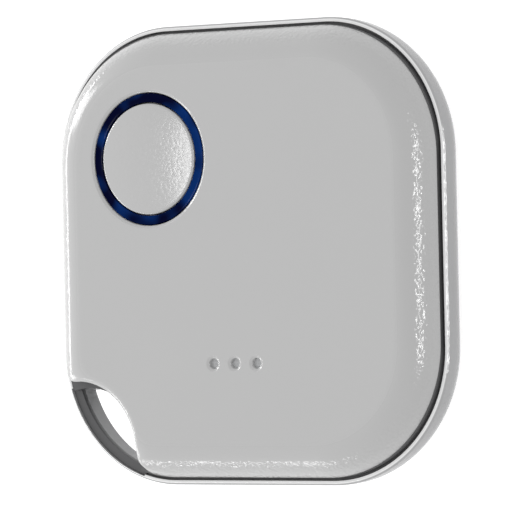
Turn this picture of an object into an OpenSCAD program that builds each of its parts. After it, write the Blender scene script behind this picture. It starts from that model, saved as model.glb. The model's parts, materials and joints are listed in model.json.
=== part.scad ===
// Battery-powered wireless push button with a key-ring loop.
// The case lies on its back: Z is up, out of the front face, and Z = 0 is the rear face.
// Seen from the front, +X is right and +Y is up. All sizes are in millimetres.

/* [Case] */
// Width and height of the case outline
body_w = 36; // [35.4:0.1:38]
// Overall thickness, rear face to front face
body_t = 6; // [5.9:0.05:7]
// Corner radius of the case outline
corner_r = 10.6; // [10:0.1:11.4]
// Height of the rear cover's rim
rear_h = 3.6; // [3.5:0.05:3.9]
// Height of the dark seam between the rear rim and the front cover
seam_gap = 0.25; // [0.15:0.05:0.4]
// How far the front cover's edge lies inside the case outline
front_inset = 0.6; // [0.5:0.05:0.8]
// Width of the front cover's rolled edge, seen from the front
front_roll_w = 2.8; // [2.2:0.1:3.2]
// Radius of the rear cover's rolled edge
rear_roll_r = 2.8; // [2.2:0.1:3]
// Radius that breaks the rear rim's outer edge
rim_round = 0.2; // [0.1:0.05:0.3]

/* [Walls] */
// Thickness of the front cover behind its flat face
cover_t = 1; // [0.9:0.05:1.1]
// Thickness of the rear cover's floor
floor_t = 0.8; // [0.7:0.05:0.9]
// Thickness of the rear cover's side wall
wall_t = 1; // [0.9:0.05:1.1]
// Radius where the rear cover's wall meets its floor, inside
hollow_roll_r = 1; // [0.7:0.05:1.1]
// Thickness of the thin lip at the rear cover's rim
lip_t = 0.35; // [0.3:0.01:0.4]
// Height of that lip above the ledge that carries the frame
lip_h = 0.75; // [0.65:0.05:0.85]
// Thickness of the frame's rim
frame_t = 1.2; // [1.1:0.05:1.3]
// Thickness of the frame's skirt inside the rear cover
skirt_t = 0.7; // [0.6:0.05:0.8]
// Width of the ledge that carries the circuit board
ledge_w = 1; // [0.8:0.05:1.2]
// Thickness of that ledge
ledge_t = 0.55; // [0.4:0.05:0.6]
// Thickness of the front cover's tongue inside the frame
tongue_t = 0.8; // [0.7:0.05:0.9]

/* [Key-ring loop] */
// Distance of the notch's centre from the two sides of the case
notch_inset = 2.6; // [2.4:0.1:3]
// Radius of the notch in the rear cover
notch_r = 5; // [4.8:0.1:5.4]
// Radius that breaks the front cover's edge along the notch
notch_round = 0.65; // [0.5:0.05:0.7]
// Width of the loop's bar
loop_w = 0.95; // [0.9:0.05:1.2]
// Thickness of the rear cover's lip outside the bar
loop_lip = 0.2; // [0.15:0.01:0.25]
// Thickness of the frame's half of the bar
bar_t = 0.5; // [0.4:0.05:0.7]
// Height of the bar's underside
bar_low = 1.45; // [1.2:0.05:1.6]

/* [Key] */
// Place of the key's centre left of the middle, as a share of the case width
key_side = 0.216; // [0.21:0.0005:0.222]
// Place of the key's centre above the middle, as a share of the case width
key_share = 0.2105; // [0.205:0.0005:0.217]
// Radius of the key cap
cap_r = 4.35; // [4.25:0.05:4.45]
// Width of the light ring that shows round the key cap
ring_w = 0.7; // [0.6:0.05:0.8]
// How far the key cap's edge lies below the front face
cap_sink = 0.02; // [0:0.01:0.06]
// Height of the key cap's crown above its edge
cap_crown = 0.2; // [0.1:0.02:0.26]
// Radius of the key cap's rolled edge
cap_round = 0.15; // [0.1:0.05:0.25]
// How far the light ring lies below the front face
ring_recess = 0.08; // [0.06:0.01:0.12]
// How far the key travels
key_travel = 0.25; // [0.15:0.01:0.3]
// Radius that breaks the edge of a hole in the front face
hole_round = 0.3; // [0.2:0.02:0.34]

/* [Sound holes] */
// Number of sound holes
hole_count = 3; // [1:1:3]
// Radius of a sound hole
hole_r = 0.4; // [0.35:0.05:0.45]
// Round on the sound holes' edges
sound_round = 0.26; // [0.2:0.02:0.28]
// Spacing of the sound holes
hole_pitch = 2; // [1.9:0.05:2.2]
// Distance of the row of sound holes from the lower side of the case
hole_inset = 9.5; // [9.2:0.1:10]

/* [Coin cell] */
// Diameter of the coin cell
cell_d = 20; // [19.6:0.1:20]
// Thickness of the coin cell
cell_t = 3.2; // [3:0.05:3.2]
// How far below the middle the cell sits, as a share of how far to the right it sits
cell_low = 1; // [0.8:0.05:1]
// Diameter of the film liner under the cell
liner_d = 12; // [10:0.5:14]
// Thickness of the film liner under the cell, with its clearance
liner_t = 0.15; // [0.1:0.01:0.2]
// Thickness of the stamped contacts
contact_t = 0.2; // [0.15:0.01:0.22]
// Width of the stamped contacts
contact_w = 3; // [2.6:0.1:3.4]

/* [Circuit board] */
// Thickness of the circuit board
board_t = 0.8; // [0.7:0.05:0.9]
// Depth of the circuit board's ledge below the frame's seat
board_drop = 0.4; // [0.3:0.05:0.45]
// Width of the push switch
switch_w = 4.8; // [4.4:0.1:5]
// Width of the radio chip
chip_w = 4; // [3.6:0.1:4.4]
// Height of the radio chip
chip_t = 0.85; // [0.7:0.05:0.9]
// Length of a light under the ring
led_l = 1.6; // [1.4:0.1:1.8]

/* [Sounder] */
// Diameter of the sounder's brass plate
sounder_d = 10; // [9.4:0.1:10.4]
// Diameter of the ceramic disc on the brass plate
ceramic_d = 7; // [6.4:0.1:7.4]
// Thickness of the brass plate, and of the ceramic disc
sounder_t = 0.15; // [0.1:0.01:0.16]

/* [Hidden] */
$fn = 64;
// Steps round a large, shallow arc
fine = 360;

// How far a cut runs past the face that it opens
cut = 0.2;
// Clearance round a piece that slides, clearance of a fitted shell, and a gap between touching faces
slide_gap = 0.1;
fit_gap = 0.05;
touch_gap = 0.02;

// Heights, from the rear face up
seat_h = rear_h - lip_h;
seam_h = rear_h + seam_gap;
ceiling_h = body_t - cover_t;
board_h = seat_h - board_drop;
board_top = board_h + board_t;
cell_h = floor_t + liner_t;
cell_top = cell_h + cell_t;
skirt_h = floor_t + hollow_roll_r + fit_gap;
tongue_h = board_top + slide_gap;

// The outline, and the insets of what follows it
half = body_w / 2;
corner_c = half - corner_r;
front_c = corner_c - front_inset / 2;
notch_c = half - notch_inset;
foot_in = lip_t + fit_gap;
rim_in = front_inset + frame_t;
bar_end = front_inset / 2;
skirt_in = wall_t + slide_gap;
ledge_in = rim_in + ledge_w;
board_in = max(rim_in, skirt_in + skirt_t) + 2 * slide_gap;
tongue_in = rim_in + slide_gap;
cavity_in = tongue_in + tongue_t;

// The front cover's rolled edge is one arc from the flat face to the seam
front_roll_h = body_t - seam_h;
front_roll_r = (front_roll_w * front_roll_w + front_roll_h * front_roll_h) / (2 * front_roll_h);
cavity_roll_r = 0.6;

// Catches that hold the front cover in the frame, and ribs that grip the rear cover
catch_l = 4;
catch_t = 0.25;
catch_d = 0.2;
catch_h = tongue_h + slide_gap;
grip_w = 0.8;
grip_in = 2;
grip_y = corner_c - grip_in;

// The key and the light ring round it
key_y = key_share * body_w;
key_x = -key_side * body_w;
cap_edge_h = body_t - cap_sink;
cap_top = cap_edge_h + cap_crown;
cap_wall = 0.7;
cap_top_t = 0.6;
cap_post_r = 1.3;
ring_bore_r = cap_r + slide_gap;
ring_r = ring_bore_r + ring_w;
key_hole_r = ring_r + fit_gap;
ring_top = body_t - ring_recess;
ring_lip_h = ceiling_h - fit_gap;
cap_flange_w = 0.4;
cap_flange_r = ring_bore_r + cap_flange_w;
cap_flange_t = 0.35;
cap_flange_h = ring_lip_h - fit_gap - cap_flange_t;
ring_flange_w = 0.45;
ring_flange_in = cap_flange_r + slide_gap;
ring_flange_r = ring_r + ring_flange_w;
ring_flange_t = 0.55;
ring_dish = 0.06;
ring_dish_w = ring_w / 2 - fit_gap;
ring_dish_r = (ring_dish_w * ring_dish_w + ring_dish * ring_dish) / (2 * ring_dish);

// The push switch, from the board up: base, dome, plunger flange, plate, plunger
switch_base_t = 0.25;
dome_r = 1.8;
dome_t = 0.08;
dome_rise = key_travel + fit_gap;
plunger_r = 1;
plunger_flange_r = 1.45;
plunger_flange_t = 0.2;
plate_t = 0.12;
dome_h = board_top + switch_base_t + touch_gap;
plunger_h = dome_h + dome_rise + dome_t + touch_gap;
plate_h = plunger_h + plunger_flange_t + fit_gap;
switch_top = plate_h + plate_t;
plunger_top = switch_top + key_travel + slide_gap;
terminal = [0.7, 0.8, 0.25];

// Lights under the ring
led_count = 4;
led_w = 0.7;
led_base_t = 0.25;
led_lens_t = 0.2;
led_end = 0.25;
led_ring_r = (ring_flange_r + ring_flange_in) / 2;

// Small parts on the board, placed from its left edge and from the key
board_reach = half - board_in;
chip_in = 4.2;
chip_below = 8.8;
chip_x = chip_in - board_reach;
chip_y = key_y - chip_below;
crystal = [2, 1.6, 0.5];
crystal_gap = 0.8;
watch = [3.2, 1.5, 0.75];
watch_gap = 0.5;
capacitor = [0.5, 1, 0.5];
capacitor_count = 4;
capacitor_gap = 0.6;
resistor = [0.5, 1, 0.35];
resistor_count = 3;
resistor_gap = 0.5;
small_pitch = 1.4;

// The printed aerial and the row of pads
trace_t = 0.05;
trace_w = 0.5;
trace_step = 1.1;
trace_turns = 5;
trace_rise = 2.6;
trace_margin = 1.2;
trace_past_corner = 2.7;
gilt_r = 0.55;
gilt_t = 0.05;
gilt_pitch = 1.8;
gilt_count = 5;

// The coin cell sits in a cup in the lower right corner of the frame
cell_r = cell_d / 2;
cell_skin = 0.25;
cell_seal = 0.45;
cell_cap_rise = 0.25;
cell_edge = 0.2;
cell_crimp = cell_t - cell_cap_rise;
cell_mouth_r = cell_r - cell_skin - cell_seal;
cup_gap = 0.15;
cup_t = 1;
cup_in_r = cell_r + cup_gap;
cup_r = cup_in_r + cup_t;
cell_x = half - cavity_in - cell_r - cup_gap;
cell_y = -cell_low * cell_x;
rib_w = 1.2;
rib_angles = [100, 150, 215];

// The board's hole for the cell, which opens at the corner where less than a web of board is left
board_hole_r = cup_in_r + cup_t / 2;
board_web = 1;
web_x = board_reach - board_web - cell_x;
board_open = sqrt(board_hole_r * board_hole_r - web_x * web_x);

// Battery contacts
contact_foot = 2.5;
contact_finger = 1.3;
leaf_l = 8.5;
leaf_turn = 90;
dimple_r = 0.5;
dimple_t = 0.1;

// The sounder hangs under the front cover, behind the sound holes
hole_y = hole_inset - half;
sounder_r = sounder_d / 2;
ceramic_r = ceramic_d / 2;
sounder_rib_t = 0.5;
sounder_rib_d = 0.15;
sounder_h = ceiling_h - sounder_rib_d - sounder_t;
ceramic_h = sounder_h - sounder_t;
finger_w = 1;
finger_t = 0.12;
plate_finger_turn = 238;
ceramic_finger_turn = 214;
mesh_t = 0.1;
mesh_margin = 0.6;
mesh_pocket = 0.6;
mesh_l = 2 * (hole_r + mesh_margin);
mesh_w = (hole_count - 1) * hole_pitch + mesh_l;

// A slab with the case's rounded-square outline, drawn in by an inset
module rounded_slab(inset, z0, z1) {
    reach = half - inset;
    for (turn = [0, 90])
        rotate(turn) translate([-reach, -corner_c, z0]) cube([2 * reach, 2 * corner_c, z1 - z0]);
    for (x = [-corner_c, corner_c], y = [-corner_c, corner_c])
        translate([x, y, z0]) cylinder(r = corner_r - inset, h = z1 - z0);
}

// The round notch in the lower left corner, as a post that cuts or stops a shape
module notch_post(inset, z0, z1) {
    translate([-notch_c, -notch_c, z0]) cylinder(r = notch_r + inset, h = z1 - z0);
}

// A slab with the outline of the case body: the rounded square without the notch
module body_slab(inset, z0, z1) {
    difference() {
        rounded_slab(inset, z0, z1);
        notch_post(inset, z0 - cut, z1 + cut);
    }
}

// A wall of the body outline between two insets
module body_ring(inset_out, inset_in, z0, z1) {
    difference() {
        body_slab(inset_out, z0, z1);
        body_slab(inset_in, z0 - cut, z1 + cut);
    }
}

// Sweeps a half section round a rounded square with its corners about c. The section reads its reach
module swept_square(inset, c) {
    for (turn = [0 : 90 : 270])
        rotate(turn) {
            let ($reach = half - inset)
                translate([0, c, 0]) rotate([90, 0, 0]) linear_extrude(2 * c) children();
            let ($reach = half - inset - c)
                translate([c, c, 0]) rotate_extrude(angle = 90) children();
        }
}

// Repeats a shape on the four straight sides of the case, drawn for the right-hand one
module each_side() {
    for (turn = [0 : 90 : 270]) rotate(turn) children();
}

// The waste outside a quarter arc, drawn about the arc's centre
module round_off(r) {
    difference() {
        square(r + cut);
        circle(r);
    }
}

// A round cutter that opens the front face, with a broken edge there
module face_bore(r, edge_r, z0) {
    rotate_extrude() {
        translate([0, z0]) square([r, body_t - z0 + cut]);
        translate([r + edge_r, body_t - edge_r]) mirror([1, 0]) round_off(edge_r);
    }
}

// A band along the loop's bar, from an inset to the bar's inner side, ended round the notch
module loop_band(inset, ends, z0, z1) {
    intersection() {
        translate([-corner_c, -corner_c, z0])
            difference() {
                cylinder(r = corner_r - inset, h = z1 - z0);
                translate([0, 0, -cut]) cylinder(r = corner_r - loop_w, h = z1 - z0 + 2 * cut);
            }
        notch_post(ends, z0 - cut, z1 + cut);
        translate([-half, -half, z0]) cube([corner_r, corner_r, z1 - z0]);
    }
}

// The frame's collar round the notch, flush with the rear cover's side of it
module notch_collar() {
    intersection() {
        rounded_slab(front_inset, seat_h, seam_h);
        difference() {
            notch_post(rim_in, seat_h, seam_h);
            notch_post(fit_gap, seat_h - cut, seam_h + cut);
        }
    }
}

// Half section of the front cover's outside: flat on top, one arc down to the seam
module front_section() {
    intersection() {
        translate([0, seam_h]) square([$reach, front_roll_h]);
        union() {
            translate([0, seam_h]) square([$reach - front_roll_w, front_roll_h]);
            translate([$reach - front_roll_w, body_t - front_roll_r]) circle(front_roll_r);
        }
    }
}

// Half section of the hollow in the front cover
module front_hollow_section() {
    difference() {
        square([$reach, ceiling_h]);
        translate([$reach - cavity_roll_r, ceiling_h - cavity_roll_r]) round_off(cavity_roll_r);
    }
}

// Front cover: a shallow moulded cap with holes for the key and the sounder
module front_cover() {
    color("#c0c0c0")
        difference() {
            union() {
                difference() {
                    swept_square(front_inset, front_c) front_section();
                    difference() {
                        swept_square(cavity_in, corner_c) front_hollow_section();
                        notch_post(cavity_in, -cut, body_t);
                    }
                }
                body_ring(tongue_in, cavity_in, tongue_h, seam_h + fit_gap);
                each_side()
                    translate([half - tongue_in - fit_gap, -catch_l / 2, catch_h])
                        cube([slide_gap + catch_d, catch_l, catch_t]);
                sounder_rib();
            }
            translate([-notch_c, -notch_c, 0]) face_bore(notch_r + front_inset, notch_round, 0);
            translate([key_x, key_y, 0]) face_bore(key_hole_r, hole_round, 0);
            translate([-mesh_w / 2 - fit_gap, hole_y - mesh_l / 2 - fit_gap, ceiling_h - cut])
                cube([mesh_w + 2 * fit_gap, mesh_l + 2 * fit_gap, mesh_pocket + cut]);
            for (i = [0 : hole_count - 1])
                translate([(i - (hole_count - 1) / 2) * hole_pitch, hole_y, 0])
                    face_bore(hole_r, sound_round, 0);
        }
}

// Round rib under the front cover that carries the sounder's rim
module sounder_rib() {
    translate([0, hole_y, ceiling_h - sounder_rib_d])
        difference() {
            cylinder(r = sounder_r, h = sounder_rib_d + fit_gap);
            translate([0, 0, -cut]) cylinder(r = sounder_r - sounder_rib_t, h = sounder_rib_d + cut);
        }
}

// Half section of the rear cover's outside: rolled at the back, broken at the rim
module rear_section() {
    difference() {
        square([$reach, rear_h]);
        translate([$reach - rear_roll_r, rear_roll_r]) mirror([0, 1]) round_off(rear_roll_r);
        translate([$reach - rim_round, rear_h - rim_round]) round_off(rim_round);
    }
}

// Half section of the hollow in the rear cover
module rear_hollow_section() {
    difference() {
        translate([0, floor_t]) square([$reach, rear_h]);
        translate([$reach - hollow_roll_r, floor_t + hollow_roll_r]) mirror([0, 1]) round_off(hollow_roll_r);
    }
}

// Rear cover: a tub with a rolled back edge, which also makes the lower half of the loop
module rear_cover() {
    color("#b8b8b8")
        difference() {
            swept_square(0, corner_c) rear_section();
            difference() {
                swept_square(wall_t, corner_c) rear_hollow_section();
                notch_post(wall_t, -cut, body_t);
            }
            body_slab(lip_t, seat_h, rear_h + cut);
            intersection() {
                rounded_slab(lip_t, seat_h, rear_h + cut);
                notch_post(rim_in + fit_gap, seat_h, rear_h + cut);
            }
            intersection() {
                rounded_slab(loop_lip, seat_h, rear_h + cut);
                notch_post(bar_end + fit_gap, seat_h, rear_h + cut);
            }
            notch_post(0, -cut, bar_low);
            intersection() {
                notch_post(0, -cut, body_t);
                translate([-corner_c, -corner_c, -cut]) cylinder(r = corner_r - loop_w, h = body_t);
            }
        }
}

// Frame: the dark rim in the seam, the upper half of the loop, the board's ledge and the cell's cup
module mid_frame() {
    color("#4a4a4c")
        difference() {
            union() {
                body_ring(front_inset, rim_in, seat_h, seam_h);
                body_ring(foot_in, rim_in, seat_h, rear_h - lip_h / 2);
                loop_band(loop_lip + fit_gap, bar_end, seat_h, seat_h + bar_t);
                notch_collar();
                body_ring(skirt_in, skirt_in + skirt_t, skirt_h, seat_h);
                body_ring(skirt_in, ledge_in, board_h - ledge_t, board_h);
                each_side()
                    for (y = [-grip_y, grip_y])
                        translate([half - skirt_in - fit_gap, y - grip_w / 2, skirt_h])
                            cube([slide_gap + fit_gap - touch_gap, grip_w, seat_h - skirt_h]);
                cell_cup();
            }
            translate([cell_x, cell_y, 0]) cylinder(r = cup_in_r, h = body_t);
            translate([cell_x - cup_r - fit_gap, cell_y - contact_w / 2 - slide_gap, 0])
                cube([cup_r - cell_r + cup_t, contact_w + 2 * slide_gap, board_h + cut]);
            each_side()
                translate([half - rim_in - cut, -catch_l / 2 - fit_gap, catch_h - fit_gap])
                    cube([cut + catch_d, catch_l + 2 * fit_gap, catch_t + 2 * fit_gap]);
        }
}

// Cup round the coin cell, as a solid disc with the ribs that tie it to the ledge
module cell_cup() {
    cup_h = cell_h + fit_gap;
    intersection() {
        body_slab(skirt_in, 0, body_t);
        translate([cell_x, cell_y, 0]) {
            translate([0, 0, cup_h]) cylinder(r = cup_r, h = board_h - cup_h);
            for (angle = rib_angles)
                rotate(angle) translate([0, -rib_w / 2, board_h - ledge_t]) cube([body_w, rib_w, ledge_t]);
        }
    }
}

// Light ring: a clear blue guide, dished on top, with a flange under the front cover
module light_ring() {
    color("#10307a")
        translate([key_x, key_y, 0])
            rotate_extrude()
                difference() {
                    union() {
                        translate([ring_bore_r, ring_lip_h])
                            square([ring_w, ring_top - ring_lip_h]);
                        translate([ring_flange_in, ring_lip_h - ring_flange_t])
                            square([ring_flange_r - ring_flange_in, ring_flange_t]);
                    }
                    translate([(ring_bore_r + ring_r) / 2, ring_top + ring_dish_r - ring_dish])
                        circle(ring_dish_r);
                }
}

// Half section of the key cap's outside: a shallow crown with a rolled edge
module cap_section() {
    crown_w = cap_r - cap_round;
    crown_r = (crown_w * crown_w + cap_crown * cap_crown) / (2 * cap_crown);
    difference() {
        square([cap_r, cap_edge_h]);
        translate([crown_w, cap_edge_h - cap_round]) round_off(cap_round);
    }
    intersection() {
        translate([0, cap_top - crown_r]) circle(crown_r, $fn = fine);
        square([crown_w, cap_top]);
    }
}

// Key cap: crown, wall, retaining flange and the post that meets the switch
module button_cap() {
    color("#c0c0c0")
        translate([key_x, key_y, 0])
            rotate_extrude()
                difference() {
                    union() {
                        cap_section();
                        square([cap_flange_r, cap_flange_h + cap_flange_t]);
                    }
                    square([cap_flange_r + cut, cap_flange_h]);
                    square([cap_r - cap_wall, plunger_top + touch_gap]);
                    translate([cap_post_r, 0])
                        square([cap_r - cap_wall - cap_post_r, cap_edge_h - cap_top_t]);
                }
}

// Circuit board: fills the frame, cut away round the coin cell and in the corner beyond it
module circuit_board() {
    color("#1d5b3a")
        difference() {
            body_slab(board_in, board_h, board_top);
            translate([cell_x, cell_y, board_h - cut]) cylinder(r = board_hole_r, h = board_t + 2 * cut);
            translate([cell_x - board_open, -half, board_h - cut])
                cube([body_w, half + cell_y + board_open, board_t + 2 * cut]);
        }
}

// A square block on the push switch's axis
module switch_block(z0, z1) {
    translate([key_x - switch_w / 2, key_y - switch_w / 2, z0]) cube([switch_w, switch_w, z1 - z0]);
}

// Housing of the push switch: a square tray with a round pocket
module switch_housing() {
    pocket_h = board_top + switch_base_t;
    color("#1c1c1e")
        difference() {
            switch_block(board_top, plate_h);
            translate([key_x, key_y, pocket_h])
                cylinder(r = dome_r + slide_gap, h = plate_h - pocket_h + cut);
        }
}

// Stamped plate that closes the switch and guides the plunger
module switch_plate() {
    color("#c9cbcf")
        difference() {
            switch_block(plate_h, switch_top);
            translate([key_x, key_y, plate_h - cut])
                cylinder(r = plunger_r + slide_gap, h = plate_t + 2 * cut);
        }
}

// Plunger of the switch, held by its flange under the plate
module switch_plunger() {
    color("#e8e4da")
        translate([key_x, key_y, plunger_h]) {
            cylinder(r = plunger_r, h = plunger_top - plunger_h);
            cylinder(r = plunger_flange_r, h = plunger_flange_t);
        }
}

// Snap dome under the plunger: a shallow cap of spring steel
module switch_dome() {
    r = (dome_r * dome_r + dome_rise * dome_rise) / (2 * dome_rise);
    color("#d6d8dc")
        translate([key_x, key_y, dome_h])
            rotate_extrude()
                intersection() {
                    difference() {
                        translate([0, dome_rise + dome_t - r]) circle(r);
                        translate([0, dome_rise - r]) circle(r);
                    }
                    square([dome_r, dome_rise + dome_t]);
                }
}

// Solder legs of the switch, two on each side
module switch_terminals() {
    color("#d8c890")
        for (side = [0, 180], row = [-1, 1])
            translate([key_x, key_y, board_top])
                rotate(side)
                    translate([switch_w / 2 + touch_gap, row * switch_w / 4 - terminal[1] / 2, 0])
                        cube(terminal);
}

// Puts a copy at each light under the ring
module each_led(z) {
    for (i = [0 : led_count - 1])
        translate([key_x, key_y, z])
            rotate(i * 360 / led_count) translate([led_ring_r - led_w / 2, 0, 0]) children();
}

// White bases of the lights
module led_bases() {
    color("#e6e6e0") each_led(board_top) translate([0, -led_l / 2, 0]) cube([led_w, led_l, led_base_t]);
}

// Clear lenses on the lights
module led_lenses() {
    lens_l = led_l - 2 * led_end;
    color("#f2d470")
        each_led(board_top + led_base_t) translate([0, -lens_l / 2, 0]) cube([led_w, lens_l, led_lens_t]);
}

// A block on the board, centred on a point
module on_board(x, y, size) {
    translate([x - size[0] / 2, y - size[1] / 2, board_top]) cube(size);
}

// Radio chip in a flat square package
module radio_chip() {
    color("#232326") on_board(chip_x, chip_y, [chip_w, chip_w, chip_t]);
}

// Main crystal below the chip
module main_crystal() {
    color("#cfd1d4") on_board(chip_x, chip_y - chip_w / 2 - crystal_gap - crystal[1] / 2, crystal);
}

// Watch crystal above the chip
module watch_crystal() {
    color("#c4c6ca") on_board(chip_x, chip_y + chip_w / 2 + watch_gap + watch[1] / 2, watch);
}

// A row of small parts beside the chip
module small_row(x, size, count) {
    for (i = [0 : count - 1]) on_board(x, chip_y + (i - (count - 1) / 2) * small_pitch, size);
}

// Chip capacitors between the chip and the board's edge
module chip_capacitors() {
    color("#b08a5c")
        small_row(chip_x - chip_w / 2 - capacitor_gap - capacitor[0] / 2, capacitor, capacitor_count);
}

// Chip resistors between the chip and the coin cell
module chip_resistors() {
    color("#2a2a2c")
        small_row(chip_x + chip_w / 2 + resistor_gap + resistor[0] / 2, resistor, resistor_count);
}

// Printed aerial: a meander of copper at the upper right of the board
module antenna_trace() {
    x0 = corner_c + trace_past_corner - trace_turns * trace_step - trace_w;
    y0 = half - board_in - trace_margin - trace_rise;
    color("#c9a24a")
        translate([x0, y0, board_top]) {
            for (i = [0 : trace_turns])
                translate([i * trace_step, 0, 0]) cube([trace_w, trace_rise, trace_t]);
            for (i = [0 : trace_turns - 1])
                translate([i * trace_step, (i % 2) * (trace_rise - trace_w), 0])
                    cube([trace_step + trace_w, trace_w, trace_t]);
        }
}

// Row of gilt pads on the board's rear face, behind the switch
module programming_pads() {
    color("#d0a848")
        for (i = [0 : gilt_count - 1])
            translate([key_x + (i - (gilt_count - 1) / 2) * gilt_pitch, key_y, board_h - gilt_t])
                cylinder(r = gilt_r, h = gilt_t);
}

// Turns a half section about the coin cell's axis
module cell_turned() {
    translate([cell_x, cell_y, cell_h]) rotate_extrude() children();
}

// Positive can of the coin cell, crimped in at the front
module cell_can() {
    color("#c8cacd")
        cell_turned()
            polygon([
                [0, 0], [cell_r - cell_edge, 0], [cell_r, cell_edge], [cell_r, cell_crimp - cell_edge],
                [cell_r - cell_edge, cell_crimp], [cell_mouth_r, cell_crimp],
                [cell_mouth_r, cell_crimp - cell_skin], [cell_r - cell_skin, cell_crimp - cell_skin],
                [cell_r - cell_skin, cell_skin], [0, cell_skin]
            ]);
}

// Sealing ring between the can and the cap
module cell_gasket() {
    outer = cell_r - cell_skin - touch_gap;
    neck = cell_mouth_r - touch_gap;
    inner = neck - cell_seal;
    low = cell_skin + touch_gap;
    shoulder = cell_crimp - cell_skin - touch_gap;
    color("#2b3a48")
        cell_turned()
            polygon([
                [inner, low], [outer, low], [outer, shoulder], [neck, shoulder], [neck, cell_crimp],
                [inner, cell_crimp]
            ]);
}

// Negative cap of the coin cell
module cell_cap() {
    outer = cell_mouth_r - cell_seal - 2 * touch_gap;
    low = cell_skin + touch_gap;
    color("#d2d4d6")
        cell_turned()
            polygon([
                [0, low], [outer, low], [outer, cell_t - cell_edge], [outer - cell_edge, cell_t], [0, cell_t]
            ]);
}

// Film liner on the rear cover's floor, under the cell
module cell_liner() {
    color("#3a3a3c") translate([cell_x, cell_y, floor_t]) cylinder(d = liner_d, h = liner_t - touch_gap);
}

// Side contact: soldered under the board, its finger rests against the can
module positive_contact() {
    finger_x = cell_x - cell_r - fit_gap - contact_t;
    color("#d9c27a")
        translate([finger_x, cell_y - contact_w / 2, board_h]) {
            translate([-contact_foot, 0, -contact_t])
                cube([contact_foot + contact_t, contact_w, contact_t]);
            translate([0, 0, -contact_finger]) cube([contact_t, contact_w, contact_finger]);
        }
}

// Leaf contact: soldered on the board, its arm rests on the cell's negative cap by a dimple
module negative_contact() {
    arm_h = cell_top + touch_gap + dimple_t;
    color("#d9c27a")
        translate([cell_x, cell_y, 0])
            rotate(leaf_turn)
                translate([board_hole_r + fit_gap, -contact_w / 2, 0]) {
                    translate([0, 0, board_top]) cube([contact_t + contact_foot, contact_w, contact_t]);
                    translate([0, 0, board_top]) cube([contact_t, contact_w, arm_h + contact_t - board_top]);
                    translate([contact_t - leaf_l, 0, arm_h]) cube([leaf_l, contact_w, contact_t]);
                    translate([contact_t - leaf_l + contact_w / 2, contact_w / 2, arm_h - dimple_t])
                        cylinder(r = dimple_r, h = dimple_t + contact_t / 2);
                }
}

// Brass plate of the sounder
module sounder_plate() {
    color("#c8a04c") translate([0, hole_y, sounder_h]) cylinder(r = sounder_r - fit_gap, h = sounder_t);
}

// Ceramic disc on the brass plate
module sounder_ceramic() {
    color("#e9e6dc") translate([0, hole_y, ceramic_h]) cylinder(r = ceramic_r, h = sounder_t);
}

// How far out from the sounder's centre the board begins, beyond the coin cell, in one direction
function board_start(turn) =
    let (
        away_x = -cell_x,
        away_y = hole_y - cell_y,
        along = away_x * cos(turn) + away_y * sin(turn),
        clear_r = board_hole_r + slide_gap + finger_w / 2
    )
    sqrt(along * along + clear_r * clear_r - away_x * away_x - away_y * away_y) - along;

// One spring finger: a foot on the board, a riser at its outer end and an arm in under the sounder
module sounder_finger(tip, turn, top) {
    foot = board_start(turn);
    heel = foot + finger_w;
    translate([0, hole_y, 0])
        rotate(turn)
            translate([0, -finger_w / 2, 0]) {
                translate([foot, 0, board_top]) cube([finger_w, finger_w, finger_t]);
                translate([heel - finger_t, 0, board_top]) cube([finger_t, finger_w, top - board_top]);
                translate([tip, 0, top - finger_t]) cube([heel - tip, finger_w, finger_t]);
            }
}

// Two spring fingers that carry the sounder's current up from the board
module sounder_contacts() {
    color("#d9c27a") {
        sounder_finger((sounder_r + ceramic_r - finger_w) / 2, plate_finger_turn, sounder_h - touch_gap);
        sounder_finger(ceramic_r - finger_w, ceramic_finger_turn, ceramic_h - touch_gap);
    }
}

// Dust mesh stuck behind the sound holes
module sound_mesh() {
    color("#8c8c8e")
        translate([-mesh_w / 2, hole_y - mesh_l / 2, ceiling_h + mesh_pocket - mesh_t])
            cube([mesh_w, mesh_l, mesh_t]);
}

front_cover();
rear_cover();
mid_frame();
button_cap();
light_ring();
circuit_board();
switch_housing();
switch_plate();
switch_plunger();
switch_dome();
switch_terminals();
led_bases();
led_lenses();
radio_chip();
main_crystal();
watch_crystal();
chip_capacitors();
chip_resistors();
antenna_trace();
programming_pads();
cell_can();
cell_gasket();
cell_cap();
cell_liner();
positive_contact();
negative_contact();
sounder_plate();
sounder_ceramic();
sounder_contacts();
sound_mesh();
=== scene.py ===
"""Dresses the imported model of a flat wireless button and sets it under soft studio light.

The frame holds the measured solids. The covers, the key, the light ring and the dark frame between the
covers are modelled again here with smooth rolls and soft edges. Every other solid keeps its shape and gets
the finish of the real piece.
"""

import json
from math import asin, atan2, cos, pi, radians, sin, sqrt, tan

import bmesh
import bpy
from bpy.props import FloatProperty, FloatVectorProperty, IntProperty, PointerProperty
from bpy.types import Operator, Panel, PropertyGroup
from mathutils import Matrix, Vector


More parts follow.
